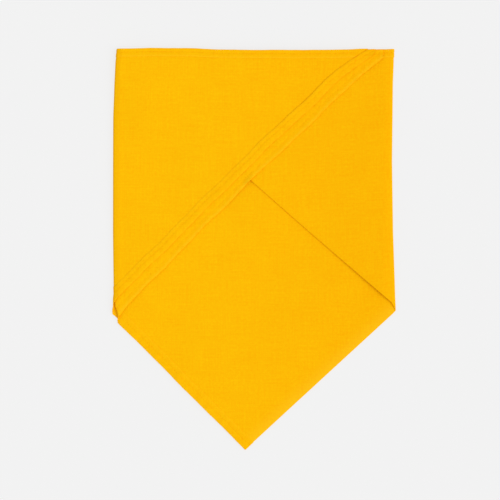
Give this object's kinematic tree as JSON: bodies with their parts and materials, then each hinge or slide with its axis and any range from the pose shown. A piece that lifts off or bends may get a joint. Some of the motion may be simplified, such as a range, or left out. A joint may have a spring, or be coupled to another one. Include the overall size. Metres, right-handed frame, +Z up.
{
  "type": "folded neckerchief",
  "caption": "Plain triangular cotton neckerchief, stored folded flat in a pointed bundle, with stitched turned hems on every edge.",
  "frame": {"origin": "under the middle of the folded shape's bounding box, on the surface that it lies on", "axes": "+Y from the pointed tip towards the straight top edge, +X to the right as seen from the front with the tip down, +Z up out of the front"},
  "size_m": [0.2494, 0.3556, 0.0082],
  "materials": {
    "cotton": "plain woven cotton dyed golden yellow, matt",
    "hem_cotton": "the same cotton in three layers, sewn with one row of yellow thread"
  },
  "bodies": {
    "root": {"cloth": "cotton", "long_edge_hem": "hem_cotton", "first_short_hem": "hem_cotton", "second_short_hem": "hem_cotton"}
  },
  "joints": []
}
